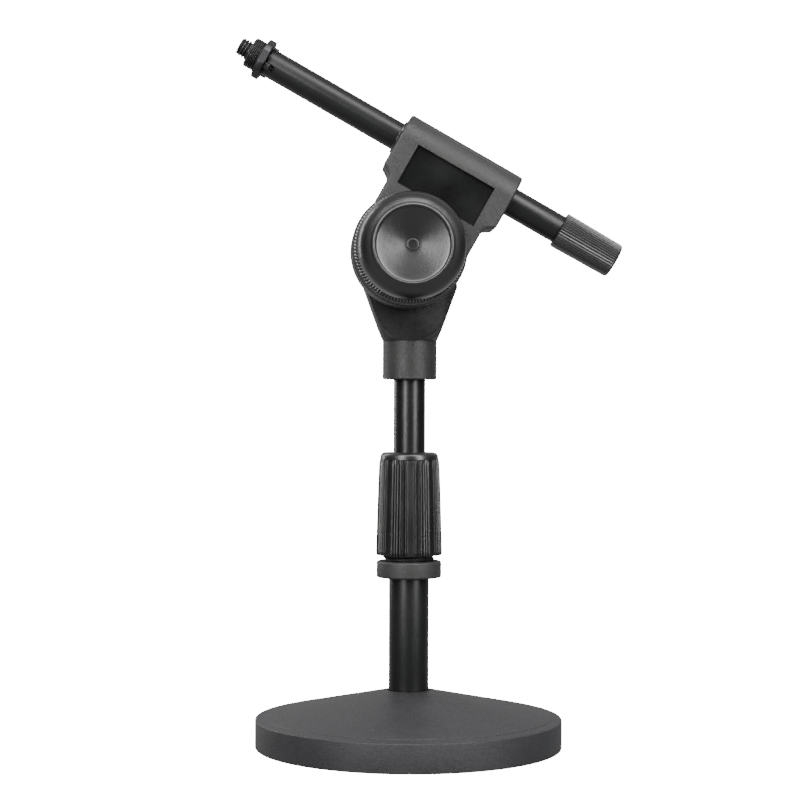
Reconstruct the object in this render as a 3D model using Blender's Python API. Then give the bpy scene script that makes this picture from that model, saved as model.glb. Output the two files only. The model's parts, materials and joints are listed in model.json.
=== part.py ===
"""Short desktop boom microphone stand.

A round cast foot carries a telescopic mast with a twist clutch. A yoke on top of the
mast and a clamp block share one pivot bolt, and a large knob squeezes the clamp, which
locks both the tilt and the boom that runs through it.

Units are metres, +Z is up. The origin is the centre of the foot's underside, the boom
and its clamp lie in front of the mast (-Y), and the boom's upper end points to -X.
"""
import math

import bmesh
import bpy
from mathutils import Vector

MM = 0.001
FIT = 0.3 * MM          # gap between two pieces that touch

# Turned pieces: facets around
FINE = 64
MEDIUM = 36
COARSE = 24
SMALL = 16

# Foot
BASE_RADIUS = 77.5 * MM
BASE_RIM_TOP = 14.8 * MM
BASE_APEX = 31.2 * MM
PAD_RADIUS = 74.0 * MM
PAD_THICK = 2.0 * MM
PAD_PROUD = 0.2 * MM
BASE_SOCKET_FLOOR = 16.0 * MM
BASE_COUNTERBORE_TOP = 10.2 * MM
BASE_COUNTERBORE_RADIUS = 11.0 * MM
BASE_BOLT_TOP = 27.0 * MM

# Metric fasteners
M8_RADIUS = 4.0 * MM
M8_HEAD_ACROSS_FLATS = 13.0 * MM
M8_HEAD_THICK = 5.3 * MM
M8_WASHER_RADIUS = 8.0 * MM
M8_WASHER_THICK = 1.6 * MM
GRUB_RADIUS = 2.5 * MM
GRUB_HEX_ACROSS_FLATS = 2.5 * MM

# Mast
LOWER_TUBE_RADIUS = 10.1 * MM
LOWER_TUBE_WALL = 1.5 * MM
LOWER_TUBE_TOP = 115.7 * MM
LOWER_PLUG_TOP = 30.0 * MM
UPPER_TUBE_RADIUS = 8.0 * MM
UPPER_TUBE_WALL = 1.2 * MM
GUIDE_BOTTOM = 68.0 * MM
GUIDE_FLANGE = 6.0 * MM
GUIDE_SPIGOT = 12.0 * MM

# Twist clutch
COLLAR_RADIUS = 16.4 * MM
COLLAR_BOTTOM = 85.7 * MM
COLLAR_TOP = 94.1 * MM
CLUTCH_THREAD_RADIUS = 13.3 * MM
CLUTCH_BODY_TOP = 120.0 * MM
COLLET_TOP = 138.0 * MM
COLLET_FOOT_RADIUS = 12.2 * MM
COLLET_TIP_RADIUS = 9.9 * MM
COLLET_SLOT = 2.6 * MM
GRIP_BOTTOM = 97.1 * MM
GRIP_SHOULDER = 145.2 * MM
GRIP_TOP = 148.9 * MM
GRIP_FOOT_RADIUS = 16.6 * MM
GRIP_NECK_RADIUS = 15.4 * MM
GRIP_SHOULDER_RADIUS = 14.65 * MM

# Yoke and pivot
YOKE_BOTTOM = 185.7 * MM
YOKE_SOCKET_RADIUS = 13.65 * MM
YOKE_SOCKET_TOP = 205.0 * MM
YOKE_BORE_TOP = 212.0 * MM
YOKE_HEAD_RADIUS = 26.5 * MM
YOKE_HEAD_DEPTH = 13.95 * MM        # from the mast axis to the back of the head
YOKE_HEAD_FRONT = 13.4 * MM
YOKE_FACE = 12.8 * MM               # flat friction face, in front of the mast axis
YOKE_FACE_ARC = 17.6 * MM           # round lower end of that face
YOKE_FACE_ARC_HEIGHT = 222.3 * MM
YOKE_FACE_LEAN = math.radians(24)   # lean of that face's straight sides
YOKE_FLARE = math.radians(19.9)     # lean of the fan's edges
YOKE_FAN_TOP = 232.0 * MM
YOKE_CORNER_RISE = 10.0 * MM        # height over which the round section turns square
YOKE_CORE_INNER = 12.0 * MM
YOKE_CORE_OUTER = 21.5 * MM
YOKE_CORE_DEPTH = 3.5 * MM
YOKE_CORE_RIB = math.radians(9)
YOKE_CORES = 6
YOKE_BOLT_FLOOR = 7.65 * MM         # bottom of the bolt head's recess, behind the mast axis
PIVOT_HEIGHT = 248.8 * MM
PIVOT_OFFSET = -2.2 * MM            # sideways from the mast axis
GRUB_HEIGHT = 196.0 * MM
FRICTION_WASHER_RADIUS = 18.0 * MM
FRICTION_WASHER_THICK = 1.4 * MM

# Boom clamp, in its own frame: pivot at the origin, boom along X, above the pivot
BOOM_TILT = math.radians(29.45)
BOOM_OFFSET = 46.2 * MM             # from the pivot axis to the boom axis
BOOM_PLANE = 26.8 * MM              # boom axis, in front of the mast axis
CLAMP_HALF_DEPTH = 13.0 * MM
CLAMP_HALF_LENGTH = 31.5 * MM
CLAMP_HEAD_RADIUS = 28.4 * MM
CLAMP_WAIST = 26.3 * MM
CLAMP_EAR_HEIGHT = 29.6 * MM
CLAMP_EAR_ROUND = 2.0 * MM
CLAMP_WAIST_HEIGHT = 26.4 * MM
CLAMP_WAIST_ROUND = 4.5 * MM
CLAMP_EDGE_ROUND = 1.0 * MM
CLAMP_SLIT = 2.0 * MM
POCKET_HALF_WIDTH = 21.4 * MM
POCKET_FOOT = 25.0 * MM
POCKET_DEPTH = 1.3 * MM
CLAMP_BORE = 8.5 * MM
LINER_FLANGE_RADIUS = 8.7 * MM
LINER_FLANGE_THICK = 0.6 * MM

# Knob, measured forwards from the mast axis
CLAMP_FRONT = BOOM_PLANE + CLAMP_HALF_DEPTH
THRUST_WASHER_RADIUS = 13.7 * MM
THRUST_WASHER_THICK = 1.2 * MM
RING_RADIUS = 27.7 * MM
RING_BACK = CLAMP_FRONT + FIT
RING_FLANGE_THICK = 3.4 * MM
RING_FACE = 47.0 * MM
RING_FACE_RADIUS = 25.4 * MM
RING_NECK_RADIUS = 21.5 * MM
RING_NECK_DEPTH = 1.0 * MM
KNOB_RADIUS = 26.0 * MM
KNOB_BACK = 48.2 * MM
KNOB_WIDEST = 62.0 * MM
KNOB_FRONT = 70.4 * MM
KNOB_RIDGE_RADIUS = 18.6 * MM
KNOB_DISH_FLOOR = 66.4 * MM
KNOB_PIP_RADIUS = 2.6 * MM
KNOB_BOSS_RADIUS = 10.5 * MM
KNOB_WALL = 3.0 * MM
KNOB_TAPER = 1.6 * MM               # how much smaller its back edge is
INSERT_RADIUS = 7.5 * MM
INSERT_LENGTH = 14.0 * MM
PIVOT_BOLT_TIP = 58.0 * MM

# Boom: distances along its axis from the point nearest the pivot, + to the lower end
BOOM_RADIUS = 7.1 * MM
BOOM_WALL = 1.2 * MM
BOOM_UPPER_END = -105.7 * MM
CAP_MOUTH = 59.5 * MM
CAP_END = 91.3 * MM
CAP_MOUTH_RADIUS = 9.2 * MM
CAP_END_RADIUS = 8.75 * MM
CAP_END_THICK = 3.5 * MM
SLOT_WIDTH = 3.6 * MM
SLOT_TURN = math.radians(25)    # from straight ahead towards the pivot side
SLOT_LENGTH = 5.0 * MM
KEY_RADIUS = 7.9 * MM
STUD_RADIUS = 4.76 * MM             # 3/8 inch thread
STUD_TIP = -121.7 * MM
PLUG_END = -91.1 * MM
ADAPTER_RADIUS = 7.94 * MM          # 5/8 inch thread
ADAPTER_TIP = -115.8 * MM
ADAPTER_FLANGE_RADIUS = 10.3 * MM
ADAPTER_FLANGE_START = -109.9 * MM
ADAPTER_FLANGE_FLATS = 9.7 * MM


# ---------------------------------------------------------------- materials

def make_material(name, colour, roughness, metallic=0.0):
    material = bpy.data.materials.new(name)
    material.use_nodes = True
    shader = material.node_tree.nodes["Principled BSDF"]
    shader.inputs["Base Color"].default_value = (*colour, 1.0)
    shader.inputs["Roughness"].default_value = roughness
    shader.inputs["Metallic"].default_value = metallic
    return material


def powder_coat(name):
    return make_material(name, (0.055, 0.056, 0.058), 0.55)


def black_enamel(name):
    return make_material(name, (0.012, 0.012, 0.013), 0.28)


def black_nylon(name):
    return make_material(name, (0.045, 0.045, 0.046), 0.6)


def glossy_plastic(name):
    return make_material(name, (0.02, 0.02, 0.021), 0.35)


def black_rubber(name):
    return make_material(name, (0.03, 0.03, 0.031), 0.75)


def plated_steel(name):
    return make_material(name, (0.42, 0.42, 0.43), 0.35, 1.0)


def blackened_steel(name):
    return make_material(name, (0.03, 0.03, 0.032), 0.4, 1.0)


def brass(name):
    return make_material(name, (0.62, 0.46, 0.2), 0.35, 1.0)


def pale_nylon(name):
    return make_material(name, (0.62, 0.6, 0.55), 0.5)


# ---------------------------------------------------------------- outlines

def arc(centre, radius, start, end, steps):
    """Points on a circle from one angle to another, both ends included."""
    points = []
    for i in range(steps + 1):
        angle = start + (end - start) * i / steps
        x = centre[0] + radius * math.cos(angle)
        y = centre[1] + radius * math.sin(angle)
        points.append((x, y))
    return points


def rounded(corners, steps=4):
    """Closed outline from (x, y, radius) corners, with an arc at each radius above 0."""
    points = []
    count = len(corners)
    for i in range(count):
        here = Vector(corners[i][:2])
        radius = corners[i][2]
        if radius == 0:
            points.append(corners[i][:2])
            continue
        before = (Vector(corners[i - 1][:2]) - here).normalized()
        after = (Vector(corners[(i + 1) % count][:2]) - here).normalized()
        half = before.angle(after) / 2
        centre = here + (before + after).normalized() * radius / math.sin(half)
        first = here + before * radius / math.tan(half) - centre
        last = here + after * radius / math.tan(half) - centre
        turn = first.angle_signed(last)
        start = math.atan2(first.y, first.x)
        points.extend(arc(centre, radius, start, start - turn, steps))
    return points


def hexagon(across_flats):
    return arc((0, 0), across_flats / math.sqrt(3), 0, math.radians(300), 5)


# ---------------------------------------------------------------- bodies

def add_object(name, mesh, material, parent=None, smooth=True):
    item = bpy.data.objects.new(name, mesh)
    bpy.context.collection.objects.link(item)
    item.parent = parent
    if material is not None:
        mesh.materials.append(material)
    if smooth:
        mesh.shade_smooth()
        mesh.set_sharp_from_angle(angle=math.radians(30))
    return item


def mesh_from(bm, name):
    bmesh.ops.recalc_face_normals(bm, faces=bm.faces)
    mesh = bpy.data.meshes.new(name)
    bm.to_mesh(mesh)
    bm.free()
    return mesh


def is_flat_pole(vert):
    """True at the middle of a flat end, where one round face can take the fan's place."""
    on_axis = vert.co.xy.length < 1e-7
    return on_axis and all(abs(edge.other_vert(vert).co.z - vert.co.z) < 1e-7
                           for edge in vert.link_edges)


def turned(name, outline, material, segments=MEDIUM, parent=None):
    """Body of revolution about Z from an (r, z) outline, closed or from axis to axis."""
    bm = bmesh.new()
    verts = [bm.verts.new((r, 0, z)) for r, z in outline]
    pairs = list(zip(verts, verts[1:]))
    on_axis = outline[0][0] == 0 and outline[-1][0] == 0
    if not on_axis:
        pairs.append((verts[-1], verts[0]))
    edges = [bm.edges.new(pair) for pair in pairs]
    bmesh.ops.spin(bm, geom=verts + edges, cent=(0, 0, 0), axis=(0, 0, 1),
                   angle=math.tau, steps=segments, use_merge=True, use_duplicate=False)
    bmesh.ops.remove_doubles(bm, verts=bm.verts, dist=1e-6)
    flat_poles = [vert for vert in bm.verts if is_flat_pole(vert)]
    bmesh.ops.dissolve_verts(bm, verts=flat_poles)
    return add_object(name, mesh_from(bm, name), material, parent)


def extruded(name, outline, low, high, material, parent=None):
    """Prism along Z from a closed (x, y) outline."""
    bm = bmesh.new()
    verts = [bm.verts.new((x, y, low)) for x, y in outline]
    face = bm.faces.new(verts)
    result = bmesh.ops.extrude_face_region(bm, geom=[face])
    moved = [item for item in result["geom"] if isinstance(item, bmesh.types.BMVert)]
    bmesh.ops.translate(bm, verts=moved, vec=(0, 0, high - low))
    return add_object(name, mesh_from(bm, name), material, parent)


def lofted(name, sections, material, parent=None):
    """Closed skin through rings of points that all have the same count."""
    bm = bmesh.new()
    rings = [[bm.verts.new(point) for point in ring] for ring in sections]
    for lower, upper in zip(rings, rings[1:]):
        count = len(lower)
        for i in range(count):
            j = (i + 1) % count
            bm.faces.new((lower[i], lower[j], upper[j], upper[i]))
    bm.faces.new(rings[0])
    bm.faces.new(rings[-1])
    return add_object(name, mesh_from(bm, name), material, parent)


def box(name, low, high, parent=None):
    outline = [(low[0], low[1]), (high[0], low[1]), (high[0], high[1]), (low[0], high[1])]
    return extruded(name, outline, low[2], high[2], None, parent)


def disc(name, radius, low, high, parent=None, segments=COARSE):
    outline = [(0, low), (radius, low), (radius, high), (0, high)]
    return turned(name, outline, None, segments, parent)


def facing_front(item):
    """Turn a piece made about Z so that its +Z looks to the front (-Y)."""
    item.rotation_euler.x = math.pi / 2
    return item


def combine(item, operation, other):
    """Boolean with a helper solid, which is hidden from renders."""
    other.hide_render = True
    other.display_type = "WIRE"
    modifier = item.modifiers.new(other.name, "BOOLEAN")
    modifier.operation = operation
    modifier.object = other


def cut(item, *cutters):
    for cutter in cutters:
        combine(item, "DIFFERENCE", cutter)


def soften(item, width, segments=2, angle=40):
    bevel = item.modifiers.new("soft_edges", "BEVEL")
    bevel.width = width
    bevel.segments = segments
    bevel.limit_method = "ANGLE"
    bevel.angle_limit = math.radians(angle)
    bevel.miter_outer = "MITER_ARC"


def axis_empty(name, location, rotation, parent=None):
    item = bpy.data.objects.new(name, None)
    bpy.context.collection.objects.link(item)
    item.location = location
    item.rotation_euler = rotation
    item.parent = parent
    return item


# ---------------------------------------------------------------- foot

def cone_height(radius):
    return BASE_RIM_TOP + (BASE_APEX - BASE_RIM_TOP) * (1 - radius / BASE_RADIUS)


def make_base_casting():
    socket = LOWER_TUBE_RADIUS + FIT
    hole = M8_RADIUS + FIT
    recess_top = PAD_THICK + FIT
    recess = PAD_RADIUS + FIT
    outline = rounded([
        (recess, PAD_PROUD, 0),
        (BASE_RADIUS, PAD_PROUD, 0.8 * MM),
        (BASE_RADIUS, BASE_RIM_TOP, 1.0 * MM),
        (socket, cone_height(socket), 0),
        (socket, BASE_SOCKET_FLOOR, 0),
        (hole, BASE_SOCKET_FLOOR, 0),
        (hole, BASE_COUNTERBORE_TOP, 0),
        (BASE_COUNTERBORE_RADIUS, BASE_COUNTERBORE_TOP, 0),
        (BASE_COUNTERBORE_RADIUS, recess_top, 0),
        (recess, recess_top, 0),
    ], steps=3)
    return turned("base_casting", outline, powder_coat("base_coat"), FINE)


def make_base_pad():
    outline = [(0, 0), (PAD_RADIUS, 0), (PAD_RADIUS, PAD_THICK), (0, PAD_THICK)]
    return turned("base_pad", outline, black_rubber("pad_rubber"), FINE)


def hex_bolt(name, head_back, tip, material, parent=None):
    """Bolt along +Z from the back of its head, with a chamfered tip."""
    head = extruded(name, hexagon(M8_HEAD_ACROSS_FLATS), head_back,
                    head_back + M8_HEAD_THICK, material, parent)
    shank_start = head_back + M8_HEAD_THICK / 2
    chamfer = 0.8 * MM
    outline = [(0, shank_start), (M8_RADIUS, shank_start), (M8_RADIUS, tip - chamfer),
               (M8_RADIUS - chamfer, tip), (0, tip)]
    shank = turned(name + "_shank", outline, None, SMALL, parent)
    combine(head, "UNION", shank)
    return head


def make_base_fixings():
    washer_low = BASE_COUNTERBORE_TOP - FIT - M8_WASHER_THICK
    head_low = washer_low - FIT - M8_HEAD_THICK
    hex_bolt("base_bolt", head_low, BASE_BOLT_TOP, plated_steel("bolt_steel"))
    hole = M8_RADIUS + FIT
    ring = [(hole, washer_low), (M8_WASHER_RADIUS, washer_low),
            (M8_WASHER_RADIUS, washer_low + M8_WASHER_THICK),
            (hole, washer_low + M8_WASHER_THICK)]
    turned("base_washer", ring, plated_steel("washer_steel"), COARSE)


# ---------------------------------------------------------------- mast

def tube(name, radius, wall, low, high, material, parent=None, segments=MEDIUM):
    inner = radius - wall
    edge = 0.4 * MM
    outline = [(inner, low), (radius - edge, low), (radius, low + edge),
               (radius, high - edge), (radius - edge, high), (inner, high)]
    return turned(name, outline, material, segments, parent)


def make_lower_tube():
    low = BASE_SOCKET_FLOOR + FIT
    tube("lower_tube", LOWER_TUBE_RADIUS, LOWER_TUBE_WALL, low, LOWER_TUBE_TOP,
         black_enamel("lower_tube_enamel"))
    radius = LOWER_TUBE_RADIUS - LOWER_TUBE_WALL - FIT
    tube("lower_tube_plug", radius, radius - M8_RADIUS - FIT, low, LOWER_PLUG_TOP,
         plated_steel("plug_steel"), segments=COARSE)


def make_mast_guide_bush(mast):
    flange = LOWER_TUBE_RADIUS - LOWER_TUBE_WALL - FIT
    spigot = UPPER_TUBE_RADIUS - UPPER_TUBE_WALL - FIT
    bore = spigot - 1.6 * MM
    flange_top = GUIDE_BOTTOM + GUIDE_FLANGE
    outline = [(bore, GUIDE_BOTTOM), (flange, GUIDE_BOTTOM), (flange, flange_top),
               (spigot, flange_top), (spigot, flange_top + GUIDE_SPIGOT),
               (bore, flange_top + GUIDE_SPIGOT)]
    turned("mast_guide_bush", outline, pale_nylon("bush_nylon"), COARSE, mast)


def make_upper_tube(mast):
    low = GUIDE_BOTTOM + GUIDE_FLANGE + FIT
    tube("upper_tube", UPPER_TUBE_RADIUS, UPPER_TUBE_WALL, low, YOKE_BORE_TOP - FIT,
         black_enamel("upper_tube_enamel"), mast)


# ---------------------------------------------------------------- twist clutch

def make_clutch_collar():
    bore = LOWER_TUBE_RADIUS + FIT
    round_edge = 1.0 * MM
    outline = rounded([
        (bore, COLLAR_BOTTOM, 0),
        (COLLAR_RADIUS, COLLAR_BOTTOM, round_edge),
        (COLLAR_RADIUS, COLLAR_TOP, round_edge),
        (bore, COLLAR_TOP, 0),
    ], steps=2)
    turned("clutch_collar", outline, black_nylon("collar_nylon"))


def make_clutch_body():
    """Threaded bush: it slips over the tube and its lip covers the tube's end."""
    bore = LOWER_TUBE_RADIUS + FIT
    lip = UPPER_TUBE_RADIUS + FIT
    low = COLLAR_TOP + FIT
    lip_low = LOWER_TUBE_TOP + FIT
    outline = [(bore, low), (CLUTCH_THREAD_RADIUS, low),
               (CLUTCH_THREAD_RADIUS, CLUTCH_BODY_TOP - 1.0 * MM),
               (CLUTCH_THREAD_RADIUS - 1.0 * MM, CLUTCH_BODY_TOP),
               (lip, CLUTCH_BODY_TOP), (lip, lip_low), (bore, lip_low)]
    turned("clutch_body", outline, glossy_plastic("clutch_plastic"))


def make_clutch_collet():
    """Split cone: the grip's tapered bore squeezes it on to the upper tube."""
    bore = UPPER_TUBE_RADIUS + FIT
    low = CLUTCH_BODY_TOP + FIT
    straight = low + 4.0 * MM
    outline = [(bore, low), (COLLET_FOOT_RADIUS, low), (COLLET_FOOT_RADIUS, straight),
               (COLLET_TIP_RADIUS, COLLET_TOP), (bore, COLLET_TOP)]
    collet = turned("clutch_collet", outline, pale_nylon("collet_nylon"), COARSE)
    slit = box("collet_slit", (-COLLET_SLOT / 2, 0, low - MM),
               (COLLET_SLOT / 2, 2 * COLLET_FOOT_RADIUS, COLLET_TOP + MM))
    cut(collet, slit)


def make_clutch_grip(grip):
    thread_bore = CLUTCH_THREAD_RADIUS + FIT
    seat_bore = COLLET_FOOT_RADIUS + FIT
    seat_low = CLUTCH_BODY_TOP + FIT + 4.0 * MM
    outline = rounded([
        (thread_bore, GRIP_BOTTOM, 0),
        (GRIP_FOOT_RADIUS, GRIP_BOTTOM, 0.6 * MM),
        (GRIP_NECK_RADIUS, GRIP_SHOULDER, 0.4 * MM),
        (GRIP_SHOULDER_RADIUS, GRIP_SHOULDER, 0),
        (GRIP_SHOULDER_RADIUS, GRIP_TOP, 2.0 * MM),
        (UPPER_TUBE_RADIUS + FIT, GRIP_TOP, 0),
        (UPPER_TUBE_RADIUS + FIT, COLLET_TOP + FIT, 0),
        (COLLET_TIP_RADIUS + 2 * FIT, COLLET_TOP + FIT, 0),
        (seat_bore + FIT, seat_low, 0),
        (thread_bore, seat_low, 0),
    ], steps=2)
    turned("clutch_grip", outline, black_nylon("grip_nylon"), MEDIUM, grip)


# ---------------------------------------------------------------- yoke

def yoke_section(height, scale=1.0):
    """Ring of points around the yoke: round at the socket, squarer up the fan."""
    rise = max(0.0, height - YOKE_SOCKET_TOP)
    half_width = (YOKE_SOCKET_RADIUS + rise * math.tan(YOKE_FLARE)) * scale
    squareness = 2 + 12 * min(1.0, rise / YOKE_CORNER_RISE)
    points = []
    for i in range(MEDIUM):
        angle = math.tau * i / MEDIUM
        cosine = math.cos(angle)
        sine = math.sin(angle)
        x = math.copysign(abs(cosine) ** (2 / squareness), cosine) * half_width
        y = math.copysign(abs(sine) ** (2 / squareness), sine) * YOKE_SOCKET_RADIUS
        points.append((x, y, height))
    return points


def yoke_face_cutter():
    """Solid in front of the friction face: a U that opens out at the fan's edges."""
    lean = YOKE_FACE_LEAN
    centre = (0, YOKE_FACE_ARC_HEIGHT)
    lower_arc = arc(centre, YOKE_FACE_ARC, math.pi + lean, math.tau - lean, 24)
    top = PIVOT_HEIGHT + YOKE_HEAD_RADIUS + 5 * MM
    side = lower_arc[-1][0] + (top - lower_arc[-1][1]) * math.tan(lean)
    outline = lower_arc + [(side, top), (-side, top)]
    cutter = extruded("yoke_face_cut", outline, YOKE_FACE, 2 * YOKE_FACE, None)
    return facing_front(cutter)


def yoke_core_cutters(pivot):
    """Shallow pockets around the bolt boss, open to the back, with ribs between them."""
    cutters = []
    for i in range(YOKE_CORES):
        start = math.tau * i / YOKE_CORES + YOKE_CORE_RIB / 2
        end = math.tau * (i + 1) / YOKE_CORES - YOKE_CORE_RIB / 2
        wedge = arc((0, 0), YOKE_CORE_OUTER, start, end, 6)
        wedge += arc((0, 0), YOKE_CORE_INNER, end, start, 4)
        cutter = extruded(f"yoke_core_{i}", wedge, -YOKE_HEAD_DEPTH - MM,
                          -YOKE_HEAD_DEPTH + YOKE_CORE_DEPTH, None, pivot)
        cutters.append(facing_front(cutter))
    return cutters


def make_tilt_yoke(pivot):
    heights = [YOKE_BOTTOM, YOKE_SOCKET_TOP]
    steps = 9
    for i in range(1, steps + 1):
        heights.append(YOKE_SOCKET_TOP + (YOKE_FAN_TOP - YOKE_SOCKET_TOP) * (i / steps) ** 1.6)
    sections = [yoke_section(h) for h in heights]
    sections.append(yoke_section(PIVOT_HEIGHT, 0.7))
    yoke = lofted("tilt_yoke", sections, black_nylon("yoke_nylon"))

    head_outline = rounded([
        (0, -YOKE_HEAD_DEPTH, 0),
        (YOKE_HEAD_RADIUS, -YOKE_HEAD_DEPTH, 1.2 * MM),
        (YOKE_HEAD_RADIUS, YOKE_HEAD_FRONT, 0),
        (0, YOKE_HEAD_FRONT, 0),
    ], steps=2)
    head = facing_front(turned("yoke_head", head_outline, None, MEDIUM, pivot))
    combine(yoke, "UNION", head)

    washer_seat = disc("yoke_washer_seat", FRICTION_WASHER_RADIUS + FIT,
                       YOKE_FACE - FRICTION_WASHER_THICK + 2 * FIT, YOKE_FACE + MM, pivot)
    through = YOKE_HEAD_DEPTH + 5 * MM
    bolt_hole = disc("yoke_bolt_hole", M8_RADIUS + FIT, -through, through, pivot, SMALL)
    bolt_recess = extruded("yoke_bolt_recess",
                           hexagon(M8_HEAD_ACROSS_FLATS + 2 * FIT),
                           -YOKE_HEAD_DEPTH - MM, -YOKE_BOLT_FLOOR, None, pivot)
    mast_bore = disc("yoke_mast_bore", UPPER_TUBE_RADIUS + FIT,
                     YOKE_BOTTOM - MM, YOKE_BORE_TOP)
    grub_hole = disc("yoke_grub_hole", GRUB_RADIUS + FIT, -through,
                     -UPPER_TUBE_RADIUS + MM, None, SMALL)
    grub_hole.location.z = GRUB_HEIGHT
    for item in (washer_seat, bolt_hole, bolt_recess, grub_hole):
        facing_front(item)
    cut(yoke, yoke_face_cutter(), bolt_recess, washer_seat, mast_bore, grub_hole)
    cut(yoke, *yoke_core_cutters(pivot))
    cut(yoke, bolt_hole)


def make_yoke_grub_screw():
    """Socket-head grub screw that enters the yoke from the back."""
    back = -YOKE_SOCKET_RADIUS + 0.6 * MM
    tip = -UPPER_TUBE_RADIUS - FIT
    outline = [(0, back), (GRUB_RADIUS - 0.3 * MM, back), (GRUB_RADIUS, back + 0.3 * MM),
               (GRUB_RADIUS, tip - 0.8 * MM), (GRUB_RADIUS - 0.8 * MM, tip), (0, tip)]
    screw = turned("yoke_grub_screw", outline, blackened_steel("grub_steel"), SMALL)
    socket = extruded("grub_socket", hexagon(GRUB_HEX_ACROSS_FLATS), back - MM,
                      back + 2 * MM, None)
    for item in (screw, socket):
        facing_front(item)
        item.location.z = GRUB_HEIGHT
    cut(screw, socket)


def washer(name, bore, radius, low, thick, material, parent, segments=MEDIUM):
    outline = [(bore, low), (radius, low), (radius, low + thick), (bore, low + thick)]
    return facing_front(turned(name, outline, material, segments, parent))


def make_pivot_hardware(pivot):
    seat = YOKE_FACE - FRICTION_WASHER_THICK + 2 * FIT
    washer("friction_washer", M8_RADIUS + FIT, FRICTION_WASHER_RADIUS, seat + FIT,
           FRICTION_WASHER_THICK, black_rubber("washer_fibre"), pivot)
    bolt = hex_bolt("pivot_bolt", -YOKE_BOLT_FLOOR - FIT - M8_HEAD_THICK, PIVOT_BOLT_TIP,
                    plated_steel("pivot_steel"), pivot)
    bolt.rotation_euler.x = math.pi / 2
    bpy.data.objects["pivot_bolt_shank"].rotation_euler.x = math.pi / 2


# ---------------------------------------------------------------- boom clamp

def clamp_outline():
    """Front view of the clamp: sleeve on top, waist, and a round head at the pivot."""
    top = BOOM_OFFSET + CLAMP_HALF_DEPTH + 5 * MM
    meet = math.acos(CLAMP_WAIST / CLAMP_HEAD_RADIUS)
    head = arc((0, 0), CLAMP_HEAD_RADIUS, meet, -math.pi - meet, 48)
    right = rounded([
        (-CLAMP_HALF_LENGTH, top, 0),
        (CLAMP_HALF_LENGTH, top, 0),
        (CLAMP_HALF_LENGTH, CLAMP_EAR_HEIGHT, CLAMP_EAR_ROUND),
        (CLAMP_WAIST, CLAMP_WAIST_HEIGHT, CLAMP_WAIST_ROUND),
        (head[0][0], head[0][1], 0),
    ])
    left = [(-x, z) for x, z in reversed(right[2:-1])]
    return right[:-1] + head + left


def clamp_side_outline():
    """End view of the clamp: flat front and back, half round over the boom."""
    low = -CLAMP_HEAD_RADIUS - 5 * MM
    half = CLAMP_HALF_DEPTH
    return [(-half, low), (half, low)] + arc((0, BOOM_OFFSET), half, 0, math.pi, 24)


def pocket_outline():
    """Recess above the knob, whose lower edge the knurled ring covers."""
    half = POCKET_HALF_WIDTH
    return [(-half, BOOM_OFFSET), (half, BOOM_OFFSET), (half, POCKET_FOOT), (-half, POCKET_FOOT)]


def make_boom_clamp(tilt):
    front_view = clamp_outline()
    clamp = extruded("boom_clamp", front_view, BOOM_PLANE - CLAMP_HALF_DEPTH,
                     BOOM_PLANE + CLAMP_HALF_DEPTH, black_nylon("clamp_nylon"), tilt)
    facing_front(clamp)
    side = extruded("clamp_side_view", clamp_side_outline(), -CLAMP_HALF_LENGTH - 5 * MM,
                    CLAMP_HALF_LENGTH + 5 * MM, None, tilt)
    side.rotation_euler = (math.pi / 2, 0, math.pi / 2)
    side.location.y = -BOOM_PLANE
    combine(clamp, "INTERSECT", side)
    soften(clamp, CLAMP_EDGE_ROUND)

    reach = CLAMP_HALF_LENGTH + 5 * MM
    bore = disc("clamp_bore", CLAMP_BORE, -reach, reach, tilt)
    bore.rotation_euler.y = math.pi / 2
    bore.location = (0, -BOOM_PLANE, BOOM_OFFSET)
    pocket = extruded("clamp_pocket", pocket_outline(), CLAMP_FRONT - POCKET_DEPTH,
                      CLAMP_FRONT + MM, None, tilt)
    bolt_hole = disc("clamp_bolt_hole", M8_RADIUS + 2 * FIT, 0, CLAMP_FRONT + MM, tilt, SMALL)
    seat = disc("clamp_washer_seat", THRUST_WASHER_RADIUS + FIT,
                CLAMP_FRONT - THRUST_WASHER_THICK, CLAMP_FRONT + MM, tilt)
    for item in (pocket, bolt_hole, seat):
        facing_front(item)
    slit = box("clamp_slit", (-reach, -BOOM_PLANE - CLAMP_SLIT / 2, -reach),
               (reach, -BOOM_PLANE + CLAMP_SLIT / 2, BOOM_OFFSET), tilt)
    cut(clamp, bore, pocket, bolt_hole, seat, slit)


# ---------------------------------------------------------------- knob

def make_thrust_washer(knob):
    low = CLAMP_FRONT - THRUST_WASHER_THICK + FIT
    washer("knob_thrust_washer", M8_RADIUS + FIT, THRUST_WASHER_RADIUS, low,
           THRUST_WASHER_THICK, plated_steel("thrust_steel"), knob)


def make_knurled_ring(knob):
    bore = KNOB_BOSS_RADIUS + FIT
    low = RING_BACK + 2 * FIT
    flange = low + RING_FLANGE_THICK
    outline = rounded([
        (bore, low, 0),
        (RING_RADIUS, low, 0.4 * MM),
        (RING_RADIUS, flange, 0.4 * MM),
        (RING_FACE_RADIUS, RING_FACE, 0),
        (RING_NECK_RADIUS, RING_FACE, 0),
        (RING_NECK_RADIUS, RING_FACE - RING_NECK_DEPTH, 0),
        (bore, RING_FACE - RING_NECK_DEPTH, 0),
    ], steps=2)
    ring = turned("knurled_ring", outline, glossy_plastic("ring_plastic"), MEDIUM, knob)
    facing_front(ring)


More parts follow.
